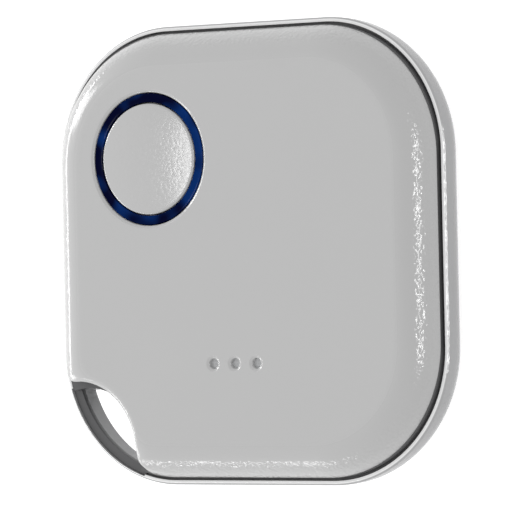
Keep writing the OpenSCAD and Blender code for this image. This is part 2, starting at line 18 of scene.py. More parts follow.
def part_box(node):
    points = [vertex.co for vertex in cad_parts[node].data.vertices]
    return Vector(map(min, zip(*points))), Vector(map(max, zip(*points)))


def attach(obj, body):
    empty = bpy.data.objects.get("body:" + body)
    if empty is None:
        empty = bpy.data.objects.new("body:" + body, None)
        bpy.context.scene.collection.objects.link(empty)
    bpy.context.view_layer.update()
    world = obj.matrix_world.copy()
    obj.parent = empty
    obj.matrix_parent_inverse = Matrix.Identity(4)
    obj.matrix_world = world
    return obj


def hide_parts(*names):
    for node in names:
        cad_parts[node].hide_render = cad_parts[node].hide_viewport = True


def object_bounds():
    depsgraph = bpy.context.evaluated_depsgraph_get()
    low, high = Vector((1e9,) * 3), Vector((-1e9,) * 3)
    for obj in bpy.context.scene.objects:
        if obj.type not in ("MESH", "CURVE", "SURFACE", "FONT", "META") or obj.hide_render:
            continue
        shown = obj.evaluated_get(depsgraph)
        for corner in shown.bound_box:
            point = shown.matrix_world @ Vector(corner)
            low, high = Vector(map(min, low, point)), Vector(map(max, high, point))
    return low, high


bl_info = {
    "name": "Wireless button",
    "version": (1, 0, 0),
    "blender": (4, 5, 0),
    "location": "View3D > Sidebar > Button",
    "description": "Models a flat wireless button with a light ring and a key-ring loop",
    "category": "Object",
}

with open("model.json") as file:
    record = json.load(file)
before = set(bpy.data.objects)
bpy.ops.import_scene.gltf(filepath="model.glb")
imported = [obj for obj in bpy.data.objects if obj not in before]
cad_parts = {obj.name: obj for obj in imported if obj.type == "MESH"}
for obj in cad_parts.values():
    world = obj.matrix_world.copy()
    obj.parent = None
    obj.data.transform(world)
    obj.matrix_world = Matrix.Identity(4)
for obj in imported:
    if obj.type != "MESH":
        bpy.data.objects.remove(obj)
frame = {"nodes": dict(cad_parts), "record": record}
CAD_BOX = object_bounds()
MM = 0.001

# Points round the case: half the notch, one tip, the rest of its corner, a whole corner and a straight side
NOTCH_STEPS = 16
TIP_STEPS = 12
SHORT_STEPS = 8
CORNER_STEPS = 36
SIDE_STEPS = 6
# Steps over the front cover's roll, the part of them up the notch's wall, and steps over a small edge
ROLL_STEPS = 20
WALL_STEPS = 6
EDGE_STEPS = 6
# Steps over the key's crown and the ring's hollow, and points round a small hole and a wide round piece
CROWN_STEPS = 12
HOLE_STEPS = 96
ROUND_STEPS = 160
# Lean of the flat on the edges of the key and its hole, on the rear rim and on the edges of the sound holes
HOLE_LEAN = radians(26)
RIM_LEAN = radians(41)
SOUND_LEAN = radians(23.5)
# The flat's share of the edge's width, in the same order
HOLE_FLAT = 0.35
RIM_FLAT = 0.7
SOUND_FLAT = 0.55
# How far cutters run past what they cut, and how far the rim of a hole's cutter stands above the face
PAST = 1.0 * MM
HAIR = 0.002 * MM
# How deep joined pieces bite, the gap between fitted pieces, and the width of a ring on a flat beside a roll
BITE = 0.05 * MM
FIT_GAP = 0.05 * MM
FLAT_STEP = 0.3 * MM
# Distance below which loose points of a CAD copy are joined, and angle below which its faces are made whole
JOIN_GAP = 0.001 * MM
FLAT_LIMIT = radians(0.5)
# Weight of the wide faces in the shading
WIDE_WEIGHT = 60

# Inside of the front cover: its face, its tongue, the bend above the tongue and the tips beside the notch
FACE_WALL = 1.0 * MM
TONGUE_INSET = 1.3 * MM
TONGUE_WALL = 0.8 * MM
TONGUE_DROP = 0.5 * MM
HOLLOW_BEND = 0.6 * MM
HOLLOW_STEP = 0.8 * MM
FRONT_TIP = 0.3 * MM
# Half sizes of a catch on the tongue, and the height of its middle above the tongue's lower edge
CATCH_OUT = 0.25 * MM
CATCH_ALONG = 2.0 * MM
CATCH_UP = 0.125 * MM
CATCH_MIDDLE = 0.225 * MM
# Rib that carries the sounder, and the mesh pocket's reach past the outer sound holes' middles
RIB_RADIUS = 5.0 * MM
RIB_BORE = 4.5 * MM
RIB_DROP = 0.15 * MM
POCKET_MARGIN = 1.05 * MM

# Rear cover: bend and flat ring at the tub's floor, tips beside the notch, the frame's reach and soft edges
TUB_BEND = 1.0 * MM
TUB_STEP = 0.2 * MM
TUB_TIP = 0.4 * MM
FRAME_REACH = 1.8 * MM
REAR_SOFT = 0.05 * MM
FRAME_SOFT = 0.04 * MM

# Key: heights of its flange, the flange's reach, the cap's wall and roof, and the stem that meets the switch
FLANGE_TOP = 4.9 * MM
FLANGE_LOW = 4.55 * MM
FLANGE_OUT = 0.5 * MM
CAP_WALL = 0.7 * MM
CAP_ROOF = 0.6 * MM
STEM_RADIUS = 1.3 * MM
STEM_LOW = 4.66 * MM
# Light ring: width of the lips beside its hollow, heights of its foot, and the foot's reach and setback
RING_LIP = 0.05 * MM
FOOT_TOP = 4.95 * MM
FOOT_LOW = 4.4 * MM
FOOT_OUT = 0.45 * MM
FOOT_IN = 0.5 * MM

# Heights between which the grain comes in on the roll and on the key's crown, with its weight
ROLL_GRAIN = (5.7 * MM, 5.45 * MM, 1.0)
CROWN_GRAIN = (6.01 * MM, 6.04 * MM, 0.22)
# Roughness of the satin face and the heights between which it starts, and those of the painted highlight
# along the rear rim
FACE_SATIN = (0.42, 5.98 * MM, 5.995 * MM)
RIM_HIGHLIGHT_HEIGHTS = (3.53 * MM, 3.58 * MM)
# Part of a noise's range that its values fill
NOISE_RANGE = (0.3, 0.7)

# Gap between the floor and the rear face
FLOOR_GAP = 0.02 * MM
# Strength of the room on the object and as it shows, of the floor's lift, and the camera's part on top of it
ROOM_LIGHT = 0.845
ROOM_SHOWN = 1.0
FLOOR_LIFT = 0.5
CAMERA_LIFT = 0.15
# Offset of the picture as shares of its width, and the nearest distance that shows
PICTURE_SHIFT = (0.0048, -0.0052)
NEAREST = 0.01
# Soft boxes: angle from straight above and turn from the right in degrees, distance and size in metres, watts
BOXES = (
    ("upper_left_box", 74, 163, 0.5, 0.245, 0.085, 0.46),
    ("left_horizon_box", 87.5, 180, 0.5, 0.05, 0.5, 0.68),
    ("left_glow", 79, 201, 0.5, 0.06, 0.1, 0.12),
    ("right_strip", 52, 0, 0.5, 0.05, 0.26, 0.7),
    ("key_box", 23.8, 180, 2.0, 0.26, 0.64, 4.2),
    ("lower_left_strip", 73.5, 234, 0.5, 0.03, 0.3, 0.34),
)
# Boxes that give the roll and the key their glints, and no other light
GLINT_BOXES = ("right_strip", "key_box")


def linear(code):
    """An sRGB hex colour as linear red, green, blue and alpha."""
    values = [int(code[i : i + 2], 16) / 255 for i in (1, 3, 5)]
    return [v / 12.92 if v <= 0.04045 else ((v + 0.055) / 1.055) ** 2.4 for v in values] + [1.0]


def length(name, description, default):
    """A length property with its default in metres."""
    return FloatProperty(
        name=name, description=description, default=default, min=0.0, unit="LENGTH", precision=5
    )


def angle(name, description, degrees):
    """An angle property with its default in degrees."""
    return FloatProperty(name=name, description=description, default=radians(degrees), subtype="ANGLE")


def paint(name, description, code):
    """A colour property with its default as an sRGB hex value."""
    return FloatVectorProperty(
        name=name, description=description, default=linear(code), size=4, min=0.0, max=1.0, subtype="COLOR"
    )


class CaseSizes(PropertyGroup):
    """Sizes of the two covers and the frame between them."""

    half_width: length("Half width", "From the middle of the case to its side", CAD_BOX[1][0])
    thickness: length("Thickness", "From the rear face to the front face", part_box("front_cover")[1].z)
    corner_radius: length("Corner radius", "Radius of the case's corners in plan", 10.6 * MM)
    rear_height: length("Rear cover height", "Height of the rear cover's rim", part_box("rear_cover")[1].z)
    seam_height: length("Seam height", "Height of the front cover's lower edge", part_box("mid_frame")[1].z)
    front_inset: length("Front inset", "How far the front cover stands inside the rear cover", 0.6 * MM)
    front_corner: length("Front corner radius", "Radius of the front cover's corners at the seam", 10.3 * MM)
    front_roll: length("Front roll width", "Width of the front cover's rolled edge", 2.8 * MM)
    rear_roll: length("Rear roll radius", "Radius of the rear cover's rolled edge", 2.8 * MM)
    rim_edge: length("Rim edge", "Width of the rear cover's broken rim edge", 0.2 * MM)
    wall: length("Wall", "Wall of the rear cover", 1.0 * MM)
    floor: length("Floor", "Floor of the rear cover", 0.8 * MM)
    lip: length("Lip", "Thickness of the rear cover's lip", 0.35 * MM)
    seat_height: length("Seat height", "Height of the ledge that the frame stands on", 2.85 * MM)
    notch_centre: length("Notch centre", "Distance of the notch's centre from both middle lines", 15.4 * MM)
    notch_radius: length("Notch radius", "Radius of the notch in the rear cover", 5.0 * MM)
    notch_round: length("Notch round", "Radius of the front cover's edge round the notch", 0.65 * MM)
    loop_width: length("Loop width", "Width of the key-ring loop's bar", 0.95 * MM)
    loop_lip: length("Loop lip", "Thickness of the rear cover's lip outside the loop's bar", 0.2 * MM)
    loop_low: length("Loop underside", "Height of the underside of the loop's bar", 1.45 * MM)
    tip_round: length("Tip round", "Radius of the tips beside the notch at the seam", 0.8 * MM)
    tip_top: length("Tip top", "Radius of the tips beside the notch on the face", 1.6 * MM)


class KeySizes(PropertyGroup):
    """Sizes of the key, the light ring and the sound holes."""

    place: FloatVectorProperty(
        name="Place",
        description="Middle of the key in plan",
        default=[sum(axis) / 2 for axis in zip(*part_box("button_cap"))][:2],
        size=2,
        unit="LENGTH",
    )
    cap_radius: length("Cap radius", "Radius of the key's cap", 4.35 * MM)
    cap_top: length("Cap top", "Height of the cap's middle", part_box("button_cap")[1].z)
    cap_crown: length("Cap crown", "How far the cap's middle stands above its edge", 0.2 * MM)
    cap_edge: length("Cap edge", "Width of the cap's broken edge", 0.18 * MM)
    ring_bore: length("Ring bore", "Inner radius of the light ring", 4.45 * MM)
    ring_radius: length("Ring radius", "Outer radius of the light ring", 5.15 * MM)
    ring_top: length("Ring top", "Height of the light ring's top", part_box("light_ring")[1].z)
    ring_dish: length("Ring dish", "Depth of the hollow in the light ring's top", 0.06 * MM)
    hole_radius: length("Key hole radius", "Radius of the front cover's key hole", 5.2 * MM)
    hole_edge: length("Key hole edge", "Width of the key hole's broken edge", 0.3 * MM)
    sound_radius: length("Sound hole radius", "Radius of a sound hole", 0.4 * MM)
    sound_edge: length("Sound hole edge", "Width of a sound hole's broken edge", 0.26 * MM)
    sound_pitch: length("Sound hole pitch", "Distance between sound holes", 2.0 * MM)
    sound_below: length("Sound hole place", "Distance of the sound holes below the middle line", 8.5 * MM)
    mesh_pocket: length("Mesh pocket", "Depth of the pocket behind the sound holes", 0.6 * MM)
    sound_count: IntProperty(
        name="Sound holes", description="Number of sound holes", default=3, min=1, max=3
    )


class Finishes(PropertyGroup):
    """Colours of the moulded pieces."""

    front: paint("Front cover", "Light grey of the front cover and the key", "#bdbdbd")
    # The rear cover is the same plastic as the front, and its darker grey is painted shade
    rear: paint("Rear cover", "Light grey of the rear cover", "#acacad")
    frame: paint("Frame", "Dark grey of the frame between the covers", "#565657")
    ring: paint("Light ring", "Deep blue of the light ring", "#010426")
    # Painted light: the lighter blue painted into the ring in patches and towards its right
    ring_painted_light: paint("Light ring glow", "Brighter blue where the ring carries light", "#072c68")
    mask: paint("Solder mask", "Green of the circuit board", "#1d5b3a")


class StageSizes(PropertyGroup):
    """Camera and floor."""

    yaw: angle("Yaw", "Camera's turn to the right of the face", 33.82)
    pitch: angle("Pitch", "Camera's rise above the middle line", -0.561)
    roll: angle("Roll", "Camera's lean", -1.238)
    distance: length("Distance", "Camera's distance from the aim", 356.8 * MM)
    aim: length("Aim height", "Height of the point that the camera looks at", 3.0 * MM)
    lens: FloatProperty(name="Lens", description="Focal length", default=322.4, unit="CAMERA")
    floor: length("Floor", "Side of the floor", 4.0)


# Modelling helpers


def deselect():
    """Leaves edit mode and selects nothing."""
    if bpy.context.object and bpy.context.object.mode != "OBJECT":
        bpy.ops.object.mode_set(mode="OBJECT")
    bpy.ops.object.select_all(action="DESELECT")


def take(piece):
    """Selects one piece and makes it the active one."""
    deselect()
    piece.select_set(True)
    bpy.context.view_layer.objects.active = piece


def loft(name, rings, closed=False):
    """A skin over a stack of rings with equal counts, closed by faces at both ends or joined into a hoop."""
    count = len(rings[0])
    deselect()
    bpy.ops.mesh.primitive_circle_add(vertices=count, fill_type="NOTHING")
    piece = bpy.context.object
    piece.name = piece.data.name = name
    bpy.ops.object.mode_set(mode="EDIT")
    bpy.ops.mesh.select_all(action="SELECT")
    for _ in rings[1:]:
        bpy.ops.mesh.extrude_region_move()
    mesh = bmesh.from_edit_mesh(piece.data)
    mesh.verts.ensure_lookup_table()
    for i, place in enumerate(place for ring in rings for place in ring):
        mesh.verts[i].co = place
    bmesh.update_edit_mesh(piece.data)
    ends = (range(count), range(count * (len(rings) - 1), count * len(rings)))
    for group in [set(ends[0]) | set(ends[1])] if closed else [set(end) for end in ends]:
        bpy.ops.mesh.select_all(action="DESELECT")
        mesh = bmesh.from_edit_mesh(piece.data)
        for edge in mesh.edges:
            edge.select_set(all(v.index in group for v in edge.verts) and len(edge.link_faces) == 1)
        bmesh.update_edit_mesh(piece.data)
        if closed:
            bpy.ops.mesh.bridge_edge_loops()
        else:
            bpy.ops.mesh.edge_face_add()
    bpy.ops.mesh.select_all(action="SELECT")
    bpy.ops.mesh.normals_make_consistent(inside=False)
    bpy.ops.object.mode_set(mode="OBJECT")
    return piece


def turned(name, centre, profile, steps=HOLE_STEPS, closed=False):
    """A piece of revolution from points of radius and height."""
    turn = [(cos(2 * pi * i / steps), sin(2 * pi * i / steps)) for i in range(steps)]
    rings = [[Vector((centre[0] + r * x, centre[1] + r * y, z)) for x, y in turn] for r, z in profile]
    return loft(name, rings, closed)


def combine(piece, other, operation="DIFFERENCE"):
    """Cuts, joins or keeps what two pieces share, and removes the other piece."""
    take(piece)
    change = piece.modifiers.new("combine", "BOOLEAN")
    change.operation = operation
    change.solver = "EXACT"
    change.object = other
    bpy.ops.object.modifier_apply(modifier=change.name)
    bpy.data.objects.remove(other)


def soften(piece, width, segments=2, limit=35):
    """Bevels every edge sharper than the limit in degrees."""
    take(piece)
    change = piece.modifiers.new("soften", "BEVEL")
    change.width = width
    change.segments = segments
    change.limit_method = "ANGLE"
    change.angle_limit = radians(limit)
    change.miter_outer = "MITER_ARC"
    bpy.ops.object.modifier_apply(modifier=change.name)


def smooth(piece, limit=32):
    """Shades a piece smooth below the limit, with the wide faces kept flat."""
    take(piece)
    bpy.ops.object.shade_smooth_by_angle(angle=radians(limit))
    change = piece.modifiers.new("smooth", "WEIGHTED_NORMAL")
    change.mode = "FACE_AREA"
    change.weight = WIDE_WEIGHT
    change.keep_sharp = True
    bpy.ops.object.modifier_apply(modifier=change.name)


def copied(node_name, name):
    """A copy of a CAD node with its loose triangles joined and its flat faces made whole."""
    take(frame["nodes"][node_name])
    bpy.ops.object.duplicate()
    piece = bpy.context.object
    piece.name = piece.data.name = name
    for key in [key for key in piece.keys() if key.startswith("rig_")]:
        del piece[key]
    piece.parent = None
    bpy.ops.object.mode_set(mode="EDIT")
    bpy.ops.mesh.select_all(action="SELECT")
    bpy.ops.mesh.customdata_custom_splitnormals_clear()
    bpy.ops.mesh.remove_doubles(threshold=JOIN_GAP)
    bpy.ops.mesh.dissolve_limited(angle_limit=FLAT_LIMIT)
    bpy.ops.object.mode_set(mode="OBJECT")
    return piece


def dress(piece, body, slot, finish, *nodes):
    """Gives a piece its finish and its body, and hides the CAD nodes that it stands for."""
    piece.data.materials.clear()
    piece.data.materials.append(finish)
    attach(piece, body)
    if nodes:
        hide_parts(*nodes)


# Shapes of the case


def arc(centre, radius, start, stop, count):
    """Points on an arc between two angles in radians, without the last one."""
    turn = [start + (stop - start) * i / count for i in range(count)]
    return [(centre[0] + radius * cos(a), centre[1] + radius * sin(a)) for a in turn]


def ease(t):
    """A soft step from 0 to 1."""
    return t * t * (3 - 2 * t)


def case_ring(case, inset, height, notch=None, tip=0.0, notch_height=None, draw_in=0.0):
    """One ring round the case, inset from its side.

    notch is the inset of the notch's edge, where the ring has one, tip the radius of the tips beside it, and
    notch_height its own height. draw_in moves the corners' centres in, which makes the corners rounder.
    """
    centre = case.half_width - case.corner_radius - draw_in
    radius = case.corner_radius - inset + draw_in
    low = (-centre, -centre)
    diagonal = radians(225)
    cut_steps = NOTCH_STEPS + TIP_STEPS + SHORT_STEPS
    if notch is None:
        first = arc(low, radius, diagonal, radians(270), cut_steps)
        last = arc(low, radius, radians(180), diagonal, cut_steps)
    else:
        mouth = (-case.notch_centre, -case.notch_centre)
        bore = case.notch_radius + notch
        span = sqrt(2) * (case.notch_centre - centre)
        along = (span**2 + (radius - tip) ** 2 - (bore + tip) ** 2) / (2 * span)
        across = sqrt((radius - tip) ** 2 - along**2)
        lean = atan2(across, along)
        turn = atan2(across, span - along)
        tips = [
            [-centre - (along + side * across) / sqrt(2), -centre - (along - side * across) / sqrt(2)]
            for side in (-1, 1)
        ]
        first = (
            arc(mouth, bore, diagonal - pi, diagonal - pi - turn, NOTCH_STEPS)
            + arc(tips[0], tip, diagonal - turn, diagonal + lean, TIP_STEPS)
            + arc(low, radius, diagonal + lean, radians(270), SHORT_STEPS)
        )
        last = (
            arc(low, radius, radians(180), diagonal - lean, SHORT_STEPS)
            + arc(tips[1], tip, diagonal - lean, diagonal + turn, TIP_STEPS)
            + arc(mouth, bore, diagonal - pi + turn, diagonal - pi, NOTCH_STEPS)
        )
    rest = []
    for quarter in range(4):
        facing = radians(270 + 90 * quarter)
        out = Vector((cos(facing), sin(facing)))
        run = Vector((-sin(facing), cos(facing)))
        for i in range(SIDE_STEPS):
            rest.append(out * (case.half_width - inset) + run * centre * (2 * i / SIDE_STEPS - 1))
        if quarter < 3:
            rest += arc((out + run) * centre, radius, facing, facing + pi / 2, CORNER_STEPS)
    fade = [ease(i / (TIP_STEPS + SHORT_STEPS)) for i in range(TIP_STEPS + SHORT_STEPS)]
    share = [1.0] * NOTCH_STEPS + [1 - f for f in fade] + [0.0] * len(rest) + fade + [1.0] * NOTCH_STEPS
    rise = 0.0 if notch_height is None else notch_height - height
    return [Vector((p[0], p[1], height + rise * s)) for p, s in zip(first + rest + last, share)]


def broken_edge(width, lean, flat=HOLE_FLAT, start=0.0):
    """Runs and drops from a face to its side wall: a bend, a flat at the lean, and a bend again."""
    radius = (1 - flat) * width / (1 - sin(start))
    path = []
    level = flat * width
    for first, last, run, drop in ((start, lean, 0.0, 0.0), (lean, pi / 2, level, level * tan(lean))):
        for i in range(EDGE_STEPS + 1):
            turn = first + (last - first) * i / EDGE_STEPS
            path.append((run + radius * (sin(turn) - sin(start)), drop + radius * (cos(start) - cos(turn))))
    return path


def hole_cutter(name, centre, radius, edge, low, top, lean=HOLE_LEAN, flat=HOLE_FLAT):
    """A cutter for a round hole with a broken upper edge."""
    lift = top + HAIR
    rim = [(radius + edge - run, lift - drop) for run, drop in broken_edge(edge, lean, flat)]
    return turned(name, centre, [(radius, low)] + rim[::-1] + [(radius + edge, lift + PAST)])


def post(name, centre, radius, low, high):
    """A plain round cutter."""
    return turned(name, centre, [(radius, low), (radius, high)], ROUND_STEPS)


def block(name, low, high):
    """A square block between two corners."""
    plan = [(low[0], low[1]), (high[0], low[1]), (high[0], high[1]), (low[0], high[1])]
    return loft(name, [[Vector((x, y, z)) for x, y in plan] for z in (low[2], high[2])])


# Materials


def node(tree, kind, inputs=None, **settings):
    """Adds a node with its settings, and sets or links its inputs."""
    made = tree.nodes.new(kind)
    for key, value in settings.items():
        setattr(made, key, value)
    for key, value in (inputs or {}).items():
        if isinstance(value, bpy.types.NodeSocket):
            tree.links.new(value, made.inputs[key])
        else:
            made.inputs[key].default_value = value
    return made


def blank(name):
    """An empty material, its node tree and the object coordinates."""
    made = bpy.data.materials.new(name)
    made.use_nodes = True
    made.node_tree.nodes.clear()
    return made, made.node_tree, node(made.node_tree, "ShaderNodeTexCoord").outputs["Object"]


def shade(colour, factor):
    """A colour made lighter or darker."""
    return [min(1.0, c * factor) for c in colour[:3]] + [1.0]


def maths(tree, operation, *values):
    """The result of one operation on two or three values."""
    return node(tree, "ShaderNodeMath", dict(enumerate(values)), operation=operation).outputs[0]


def ranged(tree, value, low, high, first=0.0, last=1.0):
    """A value carried from one range to another and kept inside it."""
    inputs = {"Value": value, "From Min": low, "From Max": high, "To Min": first, "To Max": last}
    return node(tree, "ShaderNodeMapRange", inputs).outputs["Result"]


def coordinate(tree, place, axis):
    """The coordinate along one axis of the piece."""
    return node(tree, "ShaderNodeSeparateXYZ", {"Vector": place}).outputs[axis]


def band(tree, place, first, last):
    """A share that goes from 0 to 1 between two heights on the piece."""
    return ranged(tree, coordinate(tree, place, "Z"), first, last)


def noise(tree, place, size, detail):
    """Soft random values with features of about the given size."""
    inputs = {"Vector": place, "Scale": 1 / size, "Detail": detail}
    return node(tree, "ShaderNodeTexNoise", inputs).outputs["Fac"]


def between(tree, share, first, second):
    """A colour between two others."""
    return node(tree, "ShaderNodeMix", {0: share, 6: first, 7: second}, data_type="RGBA").outputs[2]


def relief(tree, height, depth):
    """A normal tilted by a pattern of heights with the given depth."""
    inputs = {"Height": height, "Strength": 1.0, "Distance": depth}
    return node(tree, "ShaderNodeBump", inputs).outputs["Normal"]


def skin(tree, colour, rough, normal, more=None):
    """Ends a material with its surface, and further inputs of it by name."""
    inputs = {"Base Color": colour, "Roughness": rough, "Normal": normal, **(more or {})}
    surface = node(tree, "ShaderNodeBsdfPrincipled", inputs)
    node(tree, "ShaderNodeOutputMaterial", {"Surface": surface.outputs["BSDF"]})


def shown_or_plain(tree, ray, plain, shown):
    """One shader for camera, glossy and transmission rays, and a plain one for all other rays."""
    eye = maths(tree, "MAXIMUM", ray.outputs["Is Camera Ray"], ray.outputs["Is Glossy Ray"])
    eye = maths(tree, "MAXIMUM", eye, ray.outputs["Is Transmission Ray"])
    return node(tree, "ShaderNodeMixShader", {0: eye, 1: plain.outputs[0], 2: shown.outputs[0]}).outputs[0]


def moulded(
    name, colour, grain, depth, rough, spread=0.06, mottle=0.03, detail=2.0, zones=(), rim=None, satin=None
):
    """Moulded plastic or resin: a spark-eroded grain, faint flow clouds and an uneven sheen.

    Each zone gives two heights between which the grain comes in, and its weight. rim gives the colour of a
    painted highlight and satin a roughness, each with the two heights between which it comes in.
    """
    cloud_size = 5 * MM
    made, tree, place = blank(name)
    cloud = noise(tree, place, cloud_size, 3.0)
    speck = noise(tree, place, grain, detail)
    tint = between(tree, cloud, shade(colour, 1 - mottle), shade(colour, 1 + mottle))
    # A painted highlight: a lighter colour over a band of heights
    if rim:
        tint = between(tree, band(tree, place, *rim[1:]), tint, rim[0])
    sheen = ranged(tree, speck, *NOISE_RANGE, rough - spread, rough + spread)
    if satin:
        dull = {0: band(tree, place, *satin[1:]), 2: sheen, 3: satin[0]}
        sheen = node(tree, "ShaderNodeMix", dull, data_type="FLOAT").outputs[0]
    share = 0.0 if zones else 1.0
    for first, last, weight in zones:
        share = maths(tree, "MULTIPLY_ADD", band(tree, place, first, last), weight, share)
    height = maths(tree, "MULTIPLY", maths(tree, "SUBTRACT", speck, 0.5), share)
    skin(tree, tint, sheen, relief(tree, height, depth))
    return made


def metal(name, colour, streak, grain, rough, spread=0.08, depth=0.002 * MM):
    """Plated or rolled metal: fine streaks or clouds in its sheen and a faint tarnish."""
    tarnish_size = 3 * MM
    darkest, lightest = 0.9, 1.08
    made, tree, place = blank(name)
    turn = node(tree, "ShaderNodeMapping", {"Vector": place, "Scale": streak})
    line = noise(tree, turn.outputs["Vector"], grain, 3.0)
    cloud = noise(tree, place, tarnish_size, 2.0)
    tint = between(tree, cloud, shade(colour, darkest), shade(colour, lightest))
    sheen = ranged(tree, line, *NOISE_RANGE, rough - spread, rough + spread)
    skin(tree, tint, sheen, relief(tree, line, depth), {"Metallic": 1.0})
    return made


def light_guide(name, deep, painted_light, middle, reach):
    """Polished deep blue light guide, with painted light in lighter patches and more of it painted on its
    right.
    """
    painted_light_patch_size = 2.6 * MM
    wave_size = 0.9 * MM
    wave_depth = 0.012 * MM
    painted_side_slant = 0.07
    painted_light_range = (0.42, 0.66)
    polish = 0.12
    made, tree, place = blank(name)
    # Painted light and reflections: lighter blue in patches and towards the right side
    painted_light_patch = noise(tree, place, painted_light_patch_size, 1.0)
    across = coordinate(tree, place, "X")
    side = ranged(tree, across, middle - reach, middle + reach, -painted_side_slant, painted_side_slant)
    lift = ranged(tree, maths(tree, "ADD", painted_light_patch, side), *painted_light_range)
    normal = relief(tree, noise(tree, place, wave_size, 1.0), wave_depth)
    skin(tree, between(tree, lift, deep, painted_light), polish, normal, {"Specular IOR Level": 0.02})
    return made


def laminate(name, mask):
    """Solder mask on glass laminate: copper runs and covered holes under the mask, and a faint weave."""
    pitch = 2.4 * MM
    depth = 0.006 * MM
    dot_edge = (0.09, 0.11)
    weave_share = 0.3
    copper_lift = 1.6
    gloss = 0.28
    made, tree, place = blank(name)
    dots = node(tree, "ShaderNodeTexVoronoi", {"Vector": place, "Scale": 1 / pitch})
    run = ranged(tree, dots.outputs["Distance"], *dot_edge, 1.0, 0.0)
    # Two sets of runs, across each other, drawn a little wider than real ones so that they show
    for turn, gap in ((0.0, 1.2 * MM), (pi / 2, 1.9 * MM)):
        lay = node(tree, "ShaderNodeMapping", {"Vector": place, "Rotation": (0.0, 0.0, turn)})
        sizes = {"Scale": 1 / gap, "Mortar Size": 0.07, "Brick Width": 3.7, "Row Height": 1.0}
        lines = node(tree, "ShaderNodeTexBrick", {"Vector": lay.outputs["Vector"], **sizes})
        run = maths(tree, "MAXIMUM", run, lines.outputs["Fac"])
    weave = node(tree, "ShaderNodeTexWave", {"Vector": place, "Scale": 1 / pitch, "Distortion": 0.4})
    height = maths(tree, "MULTIPLY_ADD", weave.outputs["Fac"], weave_share, run)
    coat = {"Coat Weight": 0.3, "Coat Roughness": 0.1}
    tint = between(tree, run, mask, shade(mask, copper_lift))
    skin(tree, tint, gloss, relief(tree, height, depth), coat)
    return made


def woven_wire(name, colour):
    """Fine woven wire over pale cloth, drawn at twice its pitch so that it shows."""
    pitch = 0.8 * MM
    depth = 0.004 * MM
    wire_edge = (0.45, 0.75)
    gap_shade = 0.9
    rough = 0.4
    made, tree, place = blank(name)
    inputs = {"Vector": place, "Scale": 1 / pitch}
    strands = [
        node(tree, "ShaderNodeTexWave", inputs, bands_direction=axis, wave_profile="SIN").outputs["Fac"]
        for axis in ("X", "Y")
    ]
    top = maths(tree, "MAXIMUM", *strands)
    tint = between(tree, ranged(tree, top, *wire_edge), shade(colour, gap_shade), colour)
    skin(tree, tint, rough, relief(tree, top, depth), {"Metallic": 0.2})
    return made


# Plastics, resins and ceramics: slot, name, colour, grain and depth in millimetres, roughness
PLAIN_FINISHES = (
    # Black package and housing resin with a dry, sandy surface
    ("black_resin", "black_moulding_resin", "#1c1c1e", 0.1, 0.006, 0.55),
    # Natural ivory plunger plastic
    ("ivory_plastic", "ivory_plunger_plastic", "#e3dcc8", 0.3, 0.003, 0.35),
    # White lamp package resin
    ("white_resin", "white_lamp_resin", "#e6e6e0", 0.12, 0.003, 0.4),
    # Fired chip ceramic
    ("tan_ceramic", "fired_tan_ceramic", "#a88260", 0.08, 0.004, 0.5),
    # Piezo ceramic with a silver wash
    ("white_ceramic", "silvered_piezo_ceramic", "#dcd9d0", 0.15, 0.004, 0.35),
    # Dark sealing ring of the coin cell
    ("seal_plastic", "dark_sealing_ring", "#2f3c46", 0.2, 0.003, 0.4),
    # Black polyester film
    ("liner_film", "black_liner_film", "#262626", 0.5, 0.003, 0.3),
)
# Metals: slot, name, colour, stretch of the streaks, grain in millimetres, roughness
METAL_FINISHES = (
    # Stamped stainless spring steel, rolled along one way
    ("bright_steel", "rolled_spring_steel", "#cfd1d4", (1.0, 0.08, 1.0), 0.12, 0.3),
    # Dull tin plate over brass stampings
    ("tinned_metal", "tin_plate", "#d2cfc6", (1.0, 1.0, 1.0), 0.25, 0.38),
    # Nickel-plated drawn steel of the coin cell
    ("cell_steel", "nickel_plated_cell_steel", "#c9cacc", (0.15, 1.0, 1.0), 0.15, 0.26),
    # Rolled brass disc of the sounder
    ("brass", "rolled_brass", "#d6b46a", (0.12, 1.0, 1.0), 0.15, 0.3),
    # Gold flash over copper on the board
    ("gilt_copper", "gold_flashed_copper", "#e2b95e", (1.0, 1.0, 1.0), 0.3, 0.28),
)
FINISH = {}


